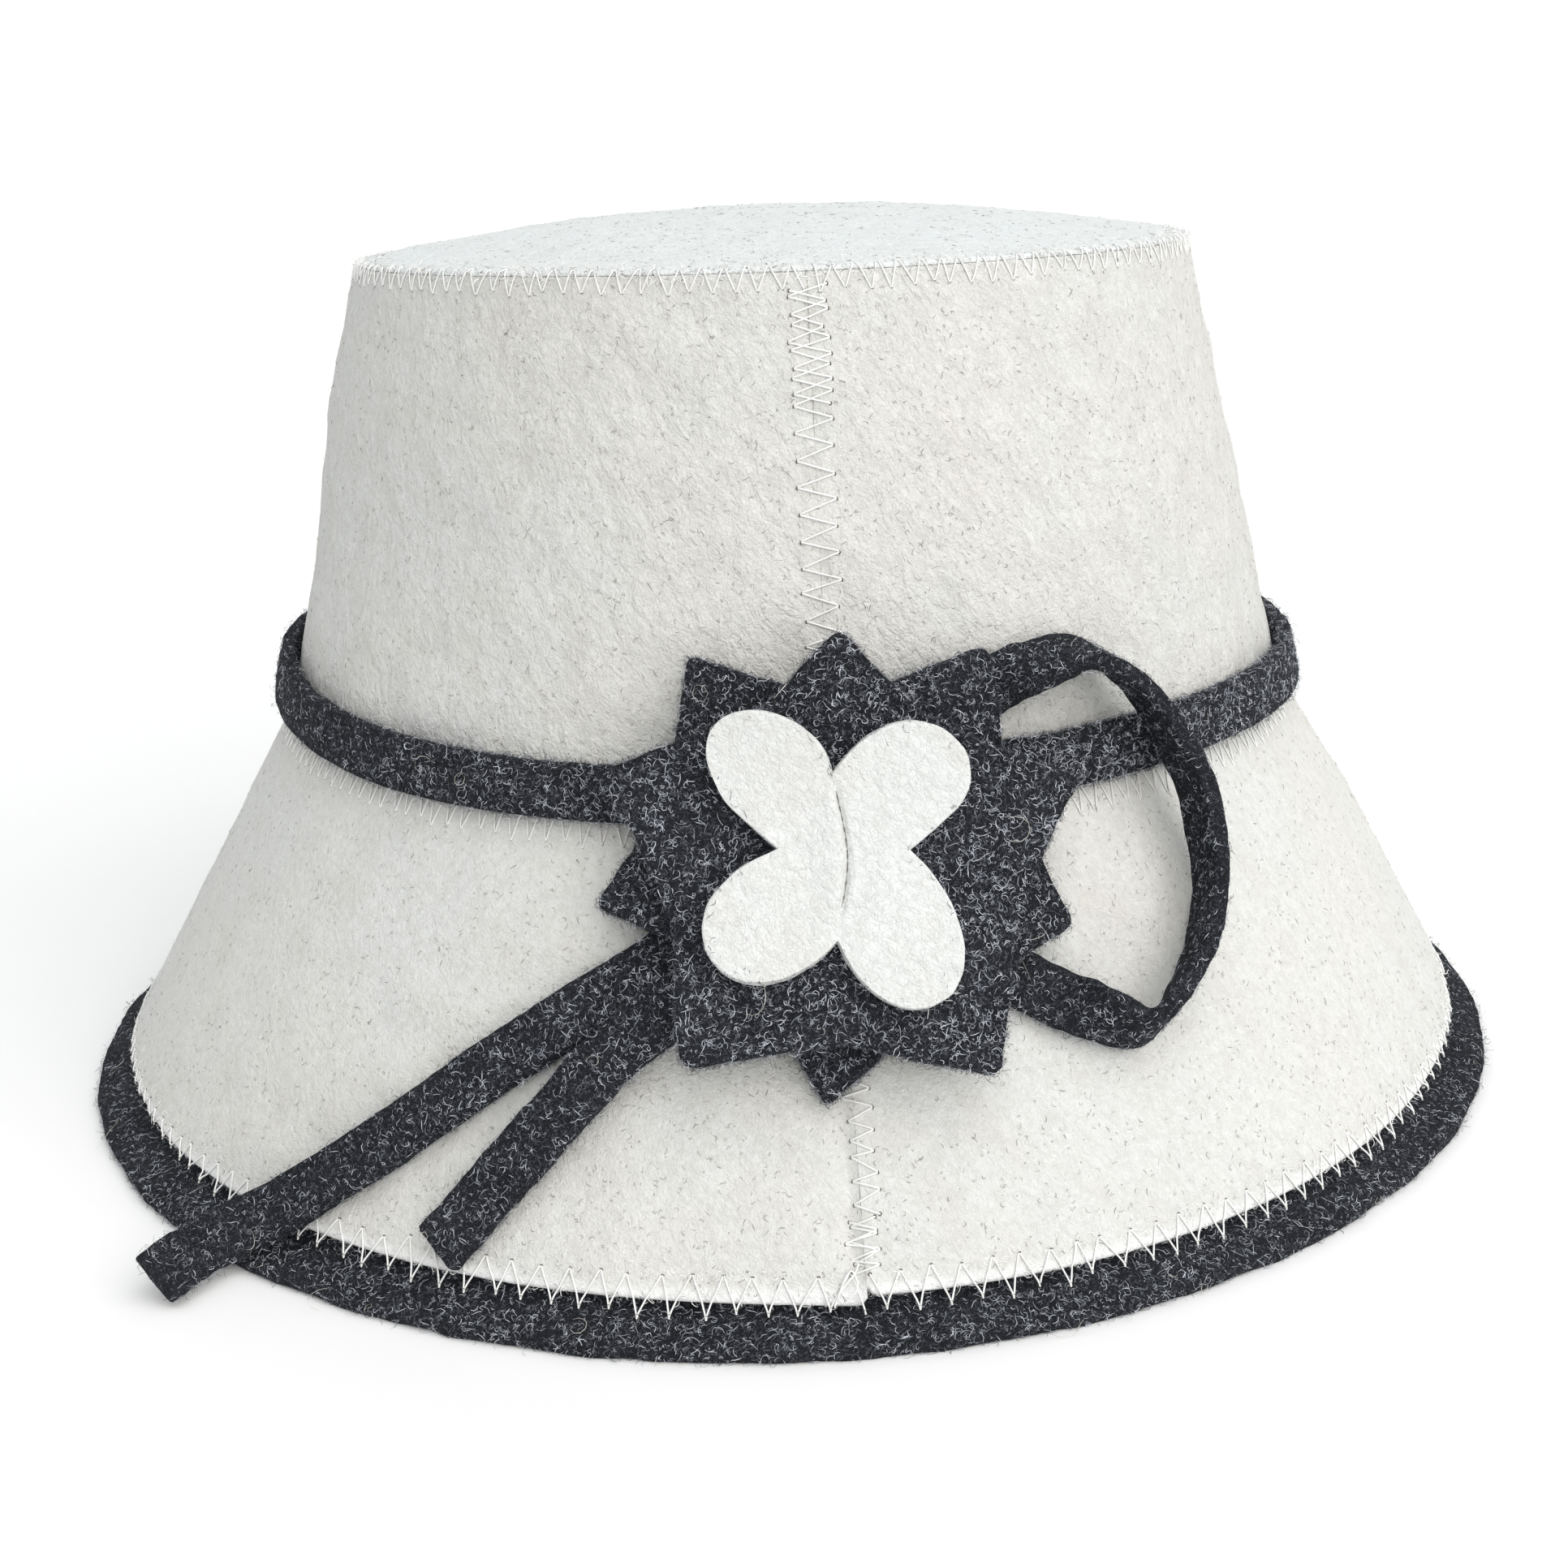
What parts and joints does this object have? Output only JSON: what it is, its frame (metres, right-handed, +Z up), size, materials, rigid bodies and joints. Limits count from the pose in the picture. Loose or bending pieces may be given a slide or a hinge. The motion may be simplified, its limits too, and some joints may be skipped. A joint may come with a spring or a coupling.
{
  "type": "sauna hat",
  "caption": "Off-white felt sauna hat with a flared brim, charcoal edging and strap, and a charcoal star bow with white petals at the front.",
  "frame": {"origin": "bottom centre of the hat's bounding box, on the surface that it rests on", "axes": "+Z up through the crown, -Y towards the front seam and the star, +X towards the bow loop"},
  "size_m": [0.2852, 0.285, 0.1643],
  "materials": {
    "white_felt": "matte",
    "grey_felt": "matte",
    "petal_felt": "matte"
  },
  "bodies": {
    "root": {"crown_tip": "white_felt", "crown_side": "white_felt", "brim": "white_felt", "brim_edging": "grey_felt", "strap": "grey_felt", "bow_loop": "grey_felt", "tail_long": "grey_felt", "tail_short": "grey_felt", "star_lower": "grey_felt", "star_upper": "grey_felt", "petals": "petal_felt"}
  },
  "joints": []
}
